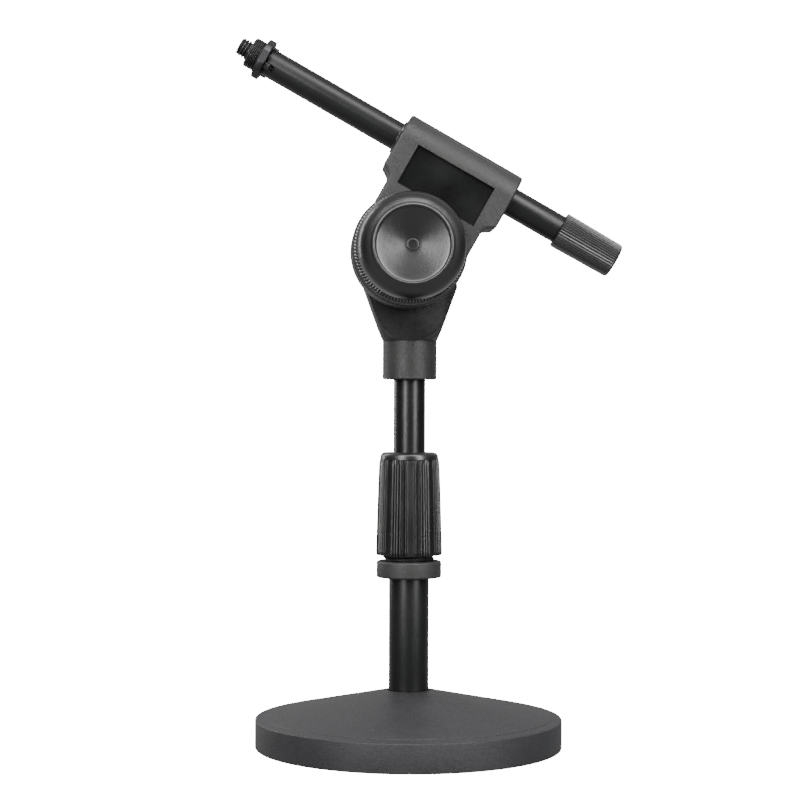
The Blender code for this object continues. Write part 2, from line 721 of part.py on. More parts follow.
def knob_outline():
    """Half section of the knob: skirt, rim, rolled ridge, dished face and bolt boss."""
    back_radius = KNOB_RADIUS - KNOB_TAPER
    dish_edge = KNOB_RIDGE_RADIUS - 1.6 * MM
    insert_bore = INSERT_RADIUS + FIT
    boss_back = RING_BACK + 2 * FIT
    insert_end = boss_back + INSERT_LENGTH + FIT
    tip_end = PIVOT_BOLT_TIP + 3 * FIT
    bolt_bore = M8_RADIUS + FIT
    outer = rounded([
        (back_radius, KNOB_BACK, 0.6 * MM),
        (KNOB_RADIUS, KNOB_WIDEST - 1.5 * MM, 6.0 * MM),
        (KNOB_RADIUS - 1.2 * MM, KNOB_WIDEST + 4.0 * MM, 3.0 * MM),
        (KNOB_RIDGE_RADIUS + 2.2 * MM, KNOB_FRONT - 0.6 * MM, 2.5 * MM),
        (KNOB_RIDGE_RADIUS, KNOB_FRONT, 1.5 * MM),
        (dish_edge, KNOB_FRONT - 1.0 * MM, 0),
        (0.62 * KNOB_RIDGE_RADIUS, KNOB_DISH_FLOOR + 1.2 * MM, 0),
        (KNOB_PIP_RADIUS, KNOB_DISH_FLOOR, 0),
        (KNOB_PIP_RADIUS - 0.8 * MM, KNOB_DISH_FLOOR + 0.5 * MM, 0),
        (0, KNOB_DISH_FLOOR + 0.6 * MM, 0),
        (0, tip_end, 0),
        (bolt_bore, tip_end, 0),
        (bolt_bore, insert_end, 0),
        (insert_bore, insert_end, 0),
        (insert_bore, boss_back, 0),
        (KNOB_BOSS_RADIUS, boss_back, 0),
        (KNOB_BOSS_RADIUS, KNOB_WIDEST - KNOB_WALL, 0),
        (back_radius - KNOB_WALL, KNOB_WIDEST - KNOB_WALL, 0),
        (back_radius - KNOB_WALL, KNOB_BACK, 0),
    ], steps=2)
    start = outer.index((0, tip_end))
    return outer[start:] + outer[:start]


def make_knob(knob):
    cap = turned("knob_cap", knob_outline(), glossy_plastic("knob_plastic"), MEDIUM, knob)
    facing_front(cap)
    low = RING_BACK + 2 * FIT
    washer("knob_insert", M8_RADIUS + FIT, INSERT_RADIUS, low, INSERT_LENGTH,
           brass("insert_brass"), knob, COARSE)


# ---------------------------------------------------------------- boom

def make_boom_liner(boom):
    bore = BOOM_RADIUS + FIT
    sleeve = CLAMP_BORE - FIT
    low = -CLAMP_HALF_LENGTH - FIT - LINER_FLANGE_THICK
    flange_high = low + LINER_FLANGE_THICK
    high = CLAMP_HALF_LENGTH - 0.5 * MM
    outline = [(bore, low), (LINER_FLANGE_RADIUS, low), (LINER_FLANGE_RADIUS, flange_high),
               (sleeve, flange_high), (sleeve, high), (bore, high)]
    turned("boom_liner", outline, glossy_plastic("liner_plastic"), MEDIUM, boom)


def make_boom_tube(boom):
    high = CAP_END - CAP_END_THICK - FIT
    body = tube("boom_tube", BOOM_RADIUS, BOOM_WALL, BOOM_UPPER_END, high,
                black_enamel("boom_enamel"), boom)
    half = SLOT_WIDTH / 2
    for i in range(2):
        angles = arc((0, BOOM_UPPER_END + SLOT_LENGTH - half), half, 0, math.pi, 8)
        start = BOOM_UPPER_END - MM
        outline = [(-half, start), (half, start)] + angles
        slot = extruded(f"boom_slot_{i}", outline, -10 * MM, 10 * MM, None, boom)
        slot.rotation_euler = (math.pi / 2, 0, SLOT_TURN + math.pi / 2 * i)
        cut(body, slot)


def make_boom_end_cap(boom):
    bore = BOOM_RADIUS + FIT
    floor = CAP_END - CAP_END_THICK
    outline = rounded([
        (bore, CAP_MOUTH, 0),
        (CAP_MOUTH_RADIUS, CAP_MOUTH, 0.3 * MM),
        (CAP_END_RADIUS, CAP_END, 1.5 * MM),
        (0, CAP_END, 0),
        (0, floor, 0),
        (bore, floor, 0),
    ], steps=2)
    start = outline.index((0, floor))
    turned("boom_end_cap", outline[start:] + outline[:start], black_rubber("cap_rubber"),
           COARSE, boom)


def make_tip_insert(boom):
    """Plug in the boom's upper end, its stud, and four keys that fill the slots."""
    plug = BOOM_RADIUS - BOOM_WALL - FIT
    shoulder = BOOM_UPPER_END - FIT
    chamfer = 0.7 * MM
    outline = [(0, STUD_TIP), (STUD_RADIUS - chamfer, STUD_TIP),
               (STUD_RADIUS, STUD_TIP + chamfer), (STUD_RADIUS, shoulder),
               (plug, shoulder), (plug, PLUG_END), (0, PLUG_END)]
    insert = turned("tip_insert", outline, blackened_steel("tip_steel"), COARSE, boom)
    half = SLOT_WIDTH / 2 - FIT
    key_end = BOOM_UPPER_END + SLOT_LENGTH - SLOT_WIDTH / 2
    for i in range(2):
        size = (KEY_RADIUS, half)
        key = box(f"tip_keys_{i}", (-size[i], -size[1 - i], shoulder),
                  (size[i], size[1 - i], key_end), boom)
        key.rotation_euler.z = SLOT_TURN
        combine(insert, "UNION", key)


def make_thread_adapter(boom):
    """Threaded sleeve on the stud, with a flange that is turned from hexagon bar."""
    bore = STUD_RADIUS + FIT
    flange_end = BOOM_UPPER_END - 2 * FIT
    chamfer = 0.6 * MM
    outline = rounded([
        (bore, ADAPTER_TIP, 0),
        (ADAPTER_RADIUS - chamfer, ADAPTER_TIP, 0),
        (ADAPTER_RADIUS, ADAPTER_TIP + chamfer, 0),
        (ADAPTER_RADIUS, ADAPTER_FLANGE_START, 0),
        (ADAPTER_FLANGE_RADIUS, ADAPTER_FLANGE_START, 0.3 * MM),
        (ADAPTER_FLANGE_RADIUS, flange_end, 0.3 * MM),
        (bore, flange_end, 0),
    ], steps=1)
    adapter = turned("thread_adapter", outline, blackened_steel("adapter_steel"),
                     MEDIUM, boom)
    hexagon_bar = extruded("adapter_flats", hexagon(2 * ADAPTER_FLANGE_FLATS),
                           ADAPTER_TIP - MM, flange_end + MM, None, boom)
    combine(adapter, "INTERSECT", hexagon_bar)


# ---------------------------------------------------------------- assembly

def clear_scene():
    for item in list(bpy.data.objects):
        bpy.data.objects.remove(item, do_unlink=True)


def build():
    clear_scene()
    make_base_casting()
    make_base_pad()
    make_base_fixings()
    make_lower_tube()
    make_clutch_collar()
    make_clutch_body()
    make_clutch_collet()

    mast = axis_empty("mast_axis", (0, 0, 0), (0, 0, 0))
    make_clutch_grip(mast)
    make_mast_guide_bush(mast)
    make_upper_tube(mast)

    pivot = axis_empty("pivot_axis", (PIVOT_OFFSET, 0, PIVOT_HEIGHT), (0, 0, 0), mast)
    make_tilt_yoke(pivot)
    make_yoke_grub_screw()
    make_pivot_hardware(pivot)
    make_thrust_washer(pivot)
    make_knurled_ring(pivot)
    make_knob(pivot)

    tilt = axis_empty("tilt_axis", (PIVOT_OFFSET, 0, PIVOT_HEIGHT), (0, BOOM_TILT, 0), mast)
    make_boom_clamp(tilt)
    boom = axis_empty("boom_axis", (0, -BOOM_PLANE, BOOM_OFFSET), (0, math.pi / 2, 0), tilt)
    make_boom_liner(boom)
    make_boom_tube(boom)
    make_boom_end_cap(boom)
    make_tip_insert(boom)
    make_thread_adapter(boom)


build()
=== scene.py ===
"""Looks of the short desktop boom microphone stand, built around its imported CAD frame."""
import json
import math

import bmesh
import bpy
from mathutils import Matrix, Vector


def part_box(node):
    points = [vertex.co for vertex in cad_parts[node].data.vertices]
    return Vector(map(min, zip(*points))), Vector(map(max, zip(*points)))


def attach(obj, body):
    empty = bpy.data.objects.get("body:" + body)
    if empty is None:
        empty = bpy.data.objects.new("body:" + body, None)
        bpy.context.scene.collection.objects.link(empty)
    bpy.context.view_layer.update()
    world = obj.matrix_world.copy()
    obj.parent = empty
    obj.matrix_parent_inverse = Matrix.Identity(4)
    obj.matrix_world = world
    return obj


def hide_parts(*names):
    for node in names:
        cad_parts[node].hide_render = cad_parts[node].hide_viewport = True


MM = 0.001
AROUND = 144            # facets around a turned piece
SHARP = 35              # degrees: a sharper crease isn't smoothed over

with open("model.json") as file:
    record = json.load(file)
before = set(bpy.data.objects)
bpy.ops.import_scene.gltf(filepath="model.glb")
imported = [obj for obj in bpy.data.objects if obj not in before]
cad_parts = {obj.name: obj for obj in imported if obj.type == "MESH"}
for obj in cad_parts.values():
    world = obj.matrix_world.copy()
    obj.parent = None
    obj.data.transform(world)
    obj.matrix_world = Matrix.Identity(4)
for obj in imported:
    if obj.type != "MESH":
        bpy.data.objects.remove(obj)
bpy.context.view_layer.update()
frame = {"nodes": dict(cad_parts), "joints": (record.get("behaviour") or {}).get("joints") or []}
joints = {joint["name"]: joint for joint in frame["joints"]}
nodes = frame["nodes"]

PIVOT = Vector(joints["boom_tilt"]["pos_m"])
BOOM_AXIS = Vector(joints["boom_slide"]["axis"])
BOOM_FOOT = Vector(joints["boom_roll"]["pos_m"])
FORWARD = Vector((0, -1, 0))
UP = Vector((0, 0, 1))


def axes_at(origin, z_axis, y_axis):
    """Placement with the given local Z and Y."""
    z = z_axis.normalized()
    x = y_axis.cross(z).normalized()
    y = z.cross(x)
    turn = Matrix((x, y, z)).transposed()
    return Matrix.Translation(origin) @ turn.to_4x4()


# Local frames. Boom: +Z to the capped end. Clamp: X along the boom, Y up to it, Z forwards.
# Knob: X right, Y up, Z forwards. The last two start on the pivot axis beside the mast axis.
PIVOT_ORIGIN = Vector((PIVOT.x, 0, PIVOT.z))
BOOM_FRAME = axes_at(BOOM_FOOT, BOOM_AXIS, Vector((0, 1, 0)))
CLAMP_UP = Vector((-BOOM_AXIS.z, 0, BOOM_AXIS.x))
CLAMP_FRAME = axes_at(PIVOT_ORIGIN, FORWARD, CLAMP_UP)
KNOB_FRAME = axes_at(PIVOT_ORIGIN, FORWARD, UP)
STAND_FRAME = Matrix.Identity(4)


# ---------------------------------------------------------------- node materials

class Nodes:
    """Short way to wire a Principled material."""

    def __init__(self, name):
        self.material = bpy.data.materials.new(name)
        self.material.use_nodes = True
        self.tree = self.material.node_tree
        self.shader = self.tree.nodes["Principled BSDF"]
        self.where = self.tree.nodes.new("ShaderNodeTexCoord").outputs["Object"]

    def add(self, kind, inputs=None, **settings):
        node = self.tree.nodes.new(kind)
        for key, value in settings.items():
            setattr(node, key, value)
        for key, value in (inputs or {}).items():
            socket = node.inputs[key]
            if isinstance(value, bpy.types.NodeSocket):
                self.tree.links.new(value, socket)
            else:
                socket.default_value = value
        return node

    def feed(self, socket_name, source):
        self.tree.links.new(source, self.shader.inputs[socket_name])

    def fixed(self, **values):
        for key, value in values.items():
            self.shader.inputs[key.replace("_", " ")].default_value = value

    def stretched(self, scale):
        """Object coordinates scaled per axis, for brushed or drawn marks."""
        return self.add("ShaderNodeMapping", {"Vector": self.where, "Scale": scale}).outputs[0]

    def noise(self, size, detail=4.0, rough=0.55, vector=None):
        """Noise whose features are about size metres across."""
        node = self.add("ShaderNodeTexNoise", {
            "Vector": vector or self.where, "Scale": 1.0 / size,
            "Detail": detail, "Roughness": rough})
        return node.outputs["Fac"]

    def ramp(self, source, low, high, start=0.0, end=1.0):
        """Maps source from low..high to start..end, clamped."""
        node = self.add("ShaderNodeMapRange", {
            "Value": source, "From Min": low, "From Max": high,
            "To Min": start, "To Max": end})
        return node.outputs[0]

    def blend_colour(self, factor, first, second):
        node = self.add("ShaderNodeMix", {"Factor": factor}, data_type="RGBA")
        for socket, value in ((node.inputs[6], first), (node.inputs[7], second)):
            if isinstance(value, bpy.types.NodeSocket):
                self.tree.links.new(value, socket)
            else:
                socket.default_value = (*value, 1.0)
        return node.outputs[2]

    def math(self, operation, first, second):
        node = self.add("ShaderNodeMath", operation=operation)
        for socket, value in ((node.inputs[0], first), (node.inputs[1], second)):
            if isinstance(value, bpy.types.NodeSocket):
                self.tree.links.new(value, socket)
            else:
                socket.default_value = value
        return node.outputs[0]

    def bump(self, height, distance, strength=1.0, under=None):
        values = {"Height": height, "Distance": distance, "Strength": strength}
        if under is not None:
            values["Normal"] = under
        return self.add("ShaderNodeBump", values).outputs[0]

    def specks(self, spacing, share):
        """1 on small scattered dust specks, else 0."""
        cells = self.add("ShaderNodeTexVoronoi", {
            "Vector": self.where, "Scale": 1.0 / spacing, "Randomness": 1.0})
        dot = self.ramp(cells.outputs["Distance"], 0.07, 0.03)
        picked = self.add("ShaderNodeSeparateColor", {"Color": cells.outputs["Color"]})
        keep = self.math("GREATER_THAN", picked.outputs[0], 1.0 - share)
        return self.math("MULTIPLY", dot, keep)


def grained(name, dark, light, grain, depth, roughness, spread=0.08, dust=0.0):
    """Textured surface: fine grain in relief, cloudy tone, dull patches and a little dust."""
    n = Nodes(name)
    fine = n.noise(grain, 3.0, 0.6)
    cloud = n.noise(26 * MM, 3.0, 0.5)
    tone = n.math("ADD", n.math("MULTIPLY", fine, 0.55), n.math("MULTIPLY", cloud, 0.45))
    colour = n.blend_colour(n.ramp(tone, 0.3, 0.7), dark, light)
    if dust > 0:
        colour = n.blend_colour(n.specks(5 * MM, dust), colour, (0.22, 0.21, 0.2))
    n.feed("Base Color", colour)
    n.feed("Roughness", n.ramp(cloud, 0.3, 0.7, roughness - spread, roughness + spread))
    coarse = n.bump(n.noise(2.6 * grain, 2.0), 1.4 * depth, 0.6)
    n.feed("Normal", n.bump(fine, depth, 1.0, coarse))
    return n.material


def enamelled(name, colour, roughness, orange_peel=0.02 * MM):
    """Sprayed black paint: slight orange peel, faint rub marks along the tube."""
    n = Nodes(name)
    peel = n.noise(1.6 * MM, 2.0, 0.4)
    rubs = n.noise(1.0 * MM, 4.0, 0.7, n.stretched((9.0, 9.0, 0.35)))
    cloud = n.noise(30 * MM, 2.0)
    paler = tuple(2.2 * value for value in colour)
    n.feed("Base Color", n.blend_colour(n.ramp(rubs, 0.62, 0.8, 0.0, 0.5), colour, paler))
    wear = n.math("ADD", n.ramp(cloud, 0.35, 0.65, -0.03, 0.03), n.ramp(rubs, 0.5, 0.8, 0, 0.07))
    n.feed("Roughness", n.math("ADD", wear, roughness))
    n.feed("Normal", n.bump(peel, orange_peel, 0.7))
    return n.material


def metal(name, colour, roughness, grain_scale=(1.0, 1.0, 1.0), tarnish=0.8):
    n = Nodes(name)
    n.fixed(Metallic=1.0)
    marks = n.noise(0.35 * MM, 3.0, 0.6, n.stretched(grain_scale))
    cloud = n.noise(6 * MM, 3.0)
    darker = tuple(tarnish * value for value in colour)
    n.feed("Base Color", n.blend_colour(n.ramp(cloud, 0.35, 0.7), colour, darker))
    n.feed("Roughness", n.ramp(marks, 0.3, 0.7, roughness - 0.07, roughness + 0.1))
    n.feed("Normal", n.bump(marks, 0.01 * MM, 0.6))
    return n.material


def worn_thread(name, crest_radius, worn_band):
    """Black-oxide thread: bright steel where a crest has been rubbed.
    Radius is measured from the piece's own Z axis."""
    n = Nodes(name)
    parts = n.add("ShaderNodeSeparateXYZ", {"Vector": n.where})
    flat = n.add("ShaderNodeCombineXYZ", {"X": parts.outputs[0], "Y": parts.outputs[1]})
    radius = n.add("ShaderNodeVectorMath", {0: flat.outputs[0]}, operation="LENGTH")
    rubbed = n.noise(0.8 * MM, 3.0, 0.6)
    scatter = 0.25 * worn_band
    edge = n.math("ADD", radius.outputs["Value"], n.ramp(rubbed, 0.3, 0.7, -scatter, scatter))
    bright = n.ramp(edge, crest_radius - 0.6 * worn_band, crest_radius + 0.5 * worn_band)
    n.feed("Base Color", n.blend_colour(bright, (0.022, 0.022, 0.023), (0.26, 0.255, 0.25)))
    n.feed("Metallic", n.ramp(bright, 0, 1, 0.35, 1.0))
    n.feed("Roughness", n.ramp(rubbed, 0.3, 0.7, 0.3, 0.45))
    n.feed("Normal", n.bump(n.noise(0.3 * MM), 0.012 * MM, 0.6))
    return n.material


def shiny(material, level):
    """Sets the strength of a material's reflections."""
    shader = material.node_tree.nodes["Principled BSDF"]
    shader.inputs["Specular IOR Level"].default_value = level
    return material


def base_coat():
    return grained("base_coat", (0.019, 0.019, 0.021), (0.037, 0.037, 0.04),
                   0.75 * MM, 0.13 * MM, 0.55, dust=0.04)


def charcoal_nylon():
    return grained("charcoal_nylon", (0.021, 0.021, 0.021), (0.04, 0.04, 0.039),
                   0.65 * MM, 0.09 * MM, 0.52, dust=0.02)


def smooth_nylon():
    material = grained("smooth_nylon", (0.0025, 0.0025, 0.003), (0.006, 0.006, 0.0065),
                       0.5 * MM, 0.012 * MM, 0.3, dust=0.1)
    return shiny(material, 0.35)


def yoke_face_nylon():
    return grained("yoke_face_nylon", (0.004, 0.004, 0.0045), (0.01, 0.01, 0.0105),
                   0.6 * MM, 0.04 * MM, 0.42, dust=0.15)


def thread_nylon():
    return grained("thread_nylon", (0.004, 0.004, 0.004), (0.007, 0.007, 0.007),
                   0.5 * MM, 0.01 * MM, 0.6)


def ring_nylon():
    material = grained("ring_nylon", (0.03, 0.03, 0.03), (0.045, 0.045, 0.045),
                       0.5 * MM, 0.01 * MM, 0.2, spread=0.05, dust=0.03)
    return shiny(material, 1.0)


def grip_nylon():
    material = grained("grip_nylon", (0.006, 0.006, 0.0062), (0.01, 0.01, 0.0102),
                       0.4 * MM, 0.012 * MM, 0.3, dust=0.03)
    return shiny(material, 0.9)


def knob_plastic():
    material = grained("knob_plastic", (0.004, 0.004, 0.004), (0.009, 0.009, 0.009),
                       0.8 * MM, 0.035 * MM, 0.31, spread=0.03, dust=0.08)
    return shiny(material, 1.0)


def rubber():
    return grained("rubber", (0.014, 0.014, 0.014), (0.024, 0.024, 0.024),
                   0.25 * MM, 0.03 * MM, 0.62, dust=0.03)


def cap_rubber():
    material = grained("cap_rubber", (0.018, 0.018, 0.018), (0.026, 0.026, 0.026),
                       0.5 * MM, 0.006 * MM, 0.33)
    return shiny(material, 0.9)


def natural_nylon():
    n = Nodes("natural_nylon")
    cloud = n.noise(8 * MM, 3.0)
    n.feed("Base Color", n.blend_colour(cloud, (0.66, 0.63, 0.56), (0.5, 0.47, 0.4)))
    n.feed("Roughness", n.ramp(cloud, 0.3, 0.7, 0.4, 0.55))
    n.feed("Normal", n.bump(n.noise(0.6 * MM), 0.02 * MM, 0.5))
    n.fixed(Subsurface_Weight=0.15)
    return n.material


# ---------------------------------------------------------------- mesh helpers

def arc(centre, radius, start, end, steps):
    points = []
    for i in range(steps + 1):
        angle = start + (end - start) * i / steps
        points.append((centre[0] + radius * math.cos(angle), centre[1] + radius * math.sin(angle)))
    return points


def circle(radius, count):
    """Regular outline of count points."""
    return arc((0, 0), radius, 0, math.tau * (count - 1) / count, count - 1)


def rounded(corners, steps=6):
    """Closed outline from (x, y, radius) corners, with an arc at each radius above 0."""
    points = []
    count = len(corners)
    for i in range(count):
        here = Vector(corners[i][:2])
        radius = corners[i][2]
        if radius == 0:
            points.append(corners[i][:2])
            continue
        before = (Vector(corners[i - 1][:2]) - here).normalized()
        after = (Vector(corners[(i + 1) % count][:2]) - here).normalized()
        half = before.angle(after) / 2
        centre = here + (before + after).normalized() * radius / math.sin(half)
        first = here + before * radius / math.tan(half) - centre
        last = here + after * radius / math.tan(half) - centre
        turn = first.angle_signed(last)
        start = math.atan2(first.y, first.x)
        points.extend(arc(centre, radius, start, start - turn, steps))
    return points


def new_object(name, bm, placement, materials, sharp=SHARP):
    bmesh.ops.recalc_face_normals(bm, faces=bm.faces)
    mesh = bpy.data.meshes.new(name)
    bm.to_mesh(mesh)
    bm.free()
    mesh.shade_smooth()
    mesh.set_sharp_from_angle(angle=math.radians(sharp))
    item = bpy.data.objects.new(name, mesh)
    bpy.context.scene.collection.objects.link(item)
    item.matrix_world = placement
    for material in materials:
        mesh.materials.append(material)
    return item


def wrapped(name, rows, placement, materials, sharp=SHARP, closed=False):
    """Skin through rows of points, each a full ring about Z. Rows of radius 0 become poles.
    closed joins the last row to the first."""
    bm = bmesh.new()
    rings = []
    for row in rows:
        if all(abs(point[0]) + abs(point[1]) < 1e-9 for point in row):
            rings.append([bm.verts.new(row[0])])
        else:
            rings.append([bm.verts.new(point) for point in row])
    pairs = list(zip(rings, rings[1:]))
    if closed:
        pairs.append((rings[-1], rings[0]))
    for lower, upper in pairs:
        count = max(len(lower), len(upper))
        for i in range(count):
            j = (i + 1) % count
            corners = [lower[i % len(lower)], lower[j % len(lower)],
                       upper[j % len(upper)], upper[i % len(upper)]]
            bm.faces.new(list(dict.fromkeys(corners)))
    return new_object(name, bm, placement, materials, sharp)


def turned(name, outline, placement, materials, around=AROUND, sharp=SHARP, shape=None):
    """Body of revolution from an (r, z) outline. shape(angle, r, z) may change the radius."""
    rows = []
    for r, z in outline:
        row = []
        for i in range(around):
            angle = math.tau * i / around
            radius = r if shape is None else shape(angle, r, z)
            row.append((radius * math.cos(angle), radius * math.sin(angle), z))
        rows.append(row)
    on_axis = outline[0][0] == 0 and outline[-1][0] == 0
    return wrapped(name, rows, placement, materials, sharp, closed=not on_axis)


def extruded(name, outline, low, high, placement, materials=()):
    bm = bmesh.new()
    verts = [bm.verts.new((x, y, low)) for x, y in outline]
    face = bm.faces.new(verts)
    result = bmesh.ops.extrude_face_region(bm, geom=[face])
    moved = [item for item in result["geom"] if isinstance(item, bmesh.types.BMVert)]
    bmesh.ops.translate(bm, verts=moved, vec=(0, 0, high - low))
    return new_object(name, bm, placement, materials)


def apply_modifiers(item):
    """Leaves the evaluated mesh on the object, with no modifiers."""
    graph = bpy.context.evaluated_depsgraph_get()
    graph.update()
    mesh = bpy.data.meshes.new_from_object(item.evaluated_get(graph))
    item.modifiers.clear()
    item.data = mesh
    return mesh


def combine(item, operation, other):
    """Applies a Boolean and removes the helper solid."""
    modifier = item.modifiers.new("combine", "BOOLEAN")
    modifier.operation = operation
    modifier.object = other
    modifier.solver = "EXACT"
    apply_modifiers(item)
    bpy.data.objects.remove(other, do_unlink=True)


def soften(item, width, segments=3, clamped=True):
    """Rounds the sharp edges. clamped keeps the rounding within the shortest edge nearby."""
    bevel = item.modifiers.new("soft_edges", "BEVEL")
    bevel.width = width
    bevel.segments = segments
    bevel.limit_method = "ANGLE"
    bevel.angle_limit = math.radians(SHARP)
    bevel.harden_normals = False
    bevel.use_clamp_overlap = clamped
    mesh = apply_modifiers(item)
    mesh.shade_smooth()
    mesh.set_sharp_from_angle(angle=math.radians(SHARP))


def place(item, body, node_names):
    """Rides on a body and stands for CAD nodes."""
    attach(item, body)
    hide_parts(*node_names)


def paint(node_name, material):
    """Gives a CAD node that stays a finished material."""
    slots = nodes[node_name].data.materials
    slots.clear()
    slots.append(material)


def extent(node_name, placement):
    """Lowest and highest corner of a CAD node in a local frame."""
    to_local = placement.inverted()
    points = [to_local @ vertex.co for vertex in nodes[node_name].data.vertices]
    low = Vector(min(point[i] for point in points) for i in range(3))
    high = Vector(max(point[i] for point in points) for i in range(3))
    return low, high


def ring_of(radius, z, around):
    turns = [math.tau * i / around for i in range(around)]
    return [(radius * math.cos(angle), radius * math.sin(angle), z) for angle in turns]


# ---------------------------------------------------------------- foot

def make_base(coat):
    base_low, base_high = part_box("base_casting")
    tube_low, tube_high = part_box("lower_tube")
    low = base_low.z
    radius = base_high.x
    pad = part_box("base_pad")[1].x + 0.3 * MM
    pad_top = 2.4 * MM
    socket = tube_high.x + 0.35 * MM
    floor = tube_low.z - 0.3 * MM
    apex = 31.2 * MM
    rim = 14.8 * MM
    step = radius - 5.0 * MM

    def cone(r):
        return rim + (apex - rim) * (1 - r / radius)

    outline = rounded([
        (pad, low, 0),
        (radius, low, 0.5 * MM),
        (radius, rim - 0.2 * MM, 0.7 * MM),
        (radius - 1.6 * MM, rim + 0.25 * MM, 0.5 * MM),
        (step, cone(step) - 0.25 * MM, 0.1 * MM),
        (step - 0.2 * MM, cone(step - 0.2 * MM), 0.1 * MM),
        (socket, cone(socket), 0.5 * MM),
        (socket, floor, 0),
        (0.6 * MM, floor, 0),
        (0.6 * MM, pad_top, 0),
        (pad, pad_top, 0),
    ], steps=4)
    base = turned("base_casting_coated", outline, STAND_FRAME, [coat], around=240)
    place(base, "stand", ["base_casting"])


# ---------------------------------------------------------------- mast

def tube_piece(name, node_name, material, placement, wall):
    """Finished tube around a CAD tube, not yet placed."""
    box_low, box_high = extent(node_name, placement)
    low = box_low.z
    high = box_high.z
    radius = box_high.y
    edge = 0.35 * MM
    outline = rounded([
        (radius - wall, low, 0),
        (radius, low, edge),
        (radius, high, edge),
        (radius - wall, high, 0),
    ], steps=3)
    return turned(name, outline, placement, [material], around=128)


def make_mast_tubes():
    satin = enamelled("satin_enamel", (0.0075, 0.0075, 0.008), 0.36)
    lower = tube_piece("lower_tube_enamelled", "lower_tube", satin, STAND_FRAME, 1.5 * MM)
    place(lower, "stand", ["lower_tube"])
    gloss = enamelled("gloss_enamel", (0.005, 0.005, 0.0055), 0.32)
    upper = tube_piece("upper_tube_enamelled", "upper_tube", gloss, STAND_FRAME, 1.2 * MM)
    place(upper, "mast", ["upper_tube"])


# ---------------------------------------------------------------- clutch

def make_collar(nylon):
    low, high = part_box("clutch_collar")
    radius = high.x
    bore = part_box("lower_tube")[1].x + 0.2 * MM
    outline = rounded([
        (bore, low.z, 0.3 * MM),
        (radius, low.z, 1.0 * MM),
        (radius, high.z, 1.1 * MM),
        (bore, high.z, 0.3 * MM),
    ])
    collar = turned("collar_ring", outline, STAND_FRAME, [nylon])
    place(collar, "stand", ["clutch_collar"])


def screw_surface(name, low, high, core, crest, pitch, placement, materials, profile,
                  around=96, per_turn=16, hand=1, inside=()):
    """Thread: the radius follows a profile that climbs one pitch per turn.
    profile(phase) is 0 at the root and 1 on the crest. The ends fade to the core.
    inside lists the (r, z) corners of a bore from the high end down."""
    length = high - low
    steps = max(4, round(length / pitch * per_turn))
    rows = []
    for k in range(steps + 1):
        z = low + length * k / steps
        fade = min(1.0, (z - low) / (0.5 * pitch), (high - z) / (0.5 * pitch))
        row = []
        for i in range(around):
            angle = math.tau * i / around
            phase = (z / pitch - hand * angle / math.tau) % 1.0
            radius = core + (crest - core) * profile(phase) * max(0.0, fade)
            row.append((radius * math.cos(angle), radius * math.sin(angle), z))
        rows.append(row)

    if not inside:
        rows = [[(0, 0, low)] * around] + rows + [[(0, 0, high)] * around]
        return wrapped(name, rows, placement, materials, sharp=40)
    rows.extend(ring_of(r, z, around) for r, z in inside)
    return wrapped(name, rows, placement, materials, sharp=40, closed=True)


def vee(phase):
    """60 degree thread with small flats."""
    return min(1.0, max(0.0, 1.12 - 2.5 * abs(phase - 0.5)))


def coarse_vee(phase):
    return min(1.0, max(0.0, 1.3 - 3.4 * abs(phase - 0.5)))


def make_clutch_body(material):
    low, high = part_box("clutch_body")
    radius = high.x
    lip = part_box("upper_tube")[1].x + 0.3 * MM
    tube_radius, _, tube_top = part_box("lower_tube")[1] + Vector((0.3, 0.3, 0.3)) * MM
    inside = [(lip, high.z), (lip, tube_top), (tube_radius, tube_top), (tube_radius, low.z)]
    body = screw_surface("clutch_thread", low.z, high.z, radius - 1.1 * MM, radius,
                         2.6 * MM, STAND_FRAME, [material], coarse_vee, inside=inside)
    place(body, "stand", ["clutch_body"])


GRIP_GROUPS = 8
RIBS_PER_GROUP = 6
FLUTE_HALF = math.radians(6.5)


def grip_radius(height, foot, neck, length):
    """Slightly flared: quick near the top, slower towards the foot."""
    depth = 1 - height / length
    return neck + (foot - neck) * (0.42 * depth ** 0.35 + 0.58 * depth)


def rib_wave(angle):
    """1 on a rib, 0 between ribs and in the wide smooth flutes between groups."""
    group = math.tau / GRIP_GROUPS
    local = (angle % group) - group / 2
    ribbed = group / 2 - FLUTE_HALF
    if abs(local) > ribbed:
        return 0.0
    phase = (local + ribbed) / (2 * ribbed) * RIBS_PER_GROUP % 1.0
    return 1 - abs(2 * phase - 1) ** 1.4


